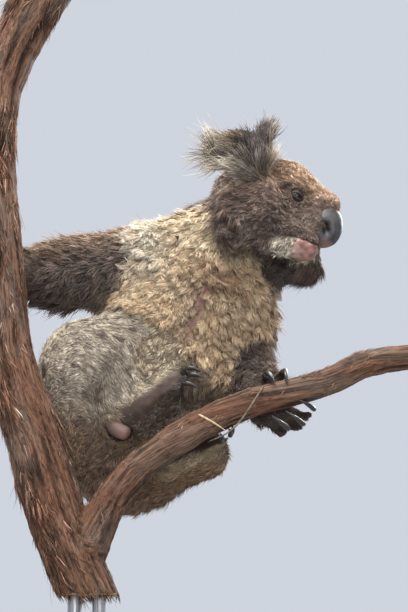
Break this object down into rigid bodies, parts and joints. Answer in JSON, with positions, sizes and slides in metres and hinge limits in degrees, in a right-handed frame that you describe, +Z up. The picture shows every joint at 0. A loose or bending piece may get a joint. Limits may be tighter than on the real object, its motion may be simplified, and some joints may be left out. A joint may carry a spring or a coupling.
{
  "type": "koala figure",
  "caption": "Life-size adult male koala wedged in a short length of forked branch, held up on two rods from a flat board.",
  "frame": {"origin": "middle of the underside of the overall box, on the surface the stand's board rests on", "axes": "+X along the side branch and the way the koala looks, +Y away from the side its belly faces, +Z up"},
  "size_m": [0.5682, 0.34, 0.9801],
  "materials": {
    "body_coat": "dense woolly grey-brown fur, cream on the chest",
    "face_coat": "short grey-brown fur, long pale tufts on the ears",
    "bark": "rough stringy bark with bare cut ends",
    "nose_pad": "bare dark slate-grey skin",
    "eye": "wet dark brown eye with an upright slit pupil",
    "claw": "smooth dark horn",
    "bare_skin": "bare pinkish-brown skin",
    "board": "dark stained board, satin",
    "rod_steel": "brushed steel rod"
  },
  "bodies": {
    "root": {"claw_left_foot_2": "claw", "claw_left_foot_3": "claw", "claw_left_foot_4": "claw", "claw_left_hand_1": "claw", "claw_left_hand_2": "claw", "claw_left_hand_3": "claw", "claw_left_hand_4": "claw", "claw_left_hand_5": "claw", "claw_right_foot_2": "claw", "claw_right_foot_3": "claw", "claw_right_foot_4": "claw", "claw_right_hand_1": "claw", "claw_right_hand_2": "claw", "claw_right_hand_3": "claw", "claw_right_hand_4": "claw", "claw_right_hand_5": "claw", "ear_left": "face_coat", "ear_right": "face_coat", "eye_left": "eye", "eye_right": "eye", "head": "face_coat", "left_foot": "body_coat", "left_forearm": "body_coat", "left_hand": "body_coat", "left_shank": "body_coat", "left_thigh": "body_coat", "left_upper_arm": "body_coat", "neck": "body_coat", "nose": "nose_pad", "perch_fork": "bark", "right_foot": "body_coat", "right_forearm": "body_coat", "right_hand": "body_coat", "right_shank": "body_coat", "right_thigh": "body_coat", "right_upper_arm": "body_coat", "scrotum": "bare_skin", "stand_base": "board", "stand_rod_1": "rod_steel", "stand_rod_2": "rod_steel", "torso": "body_coat"}
  },
  "joints": []
}
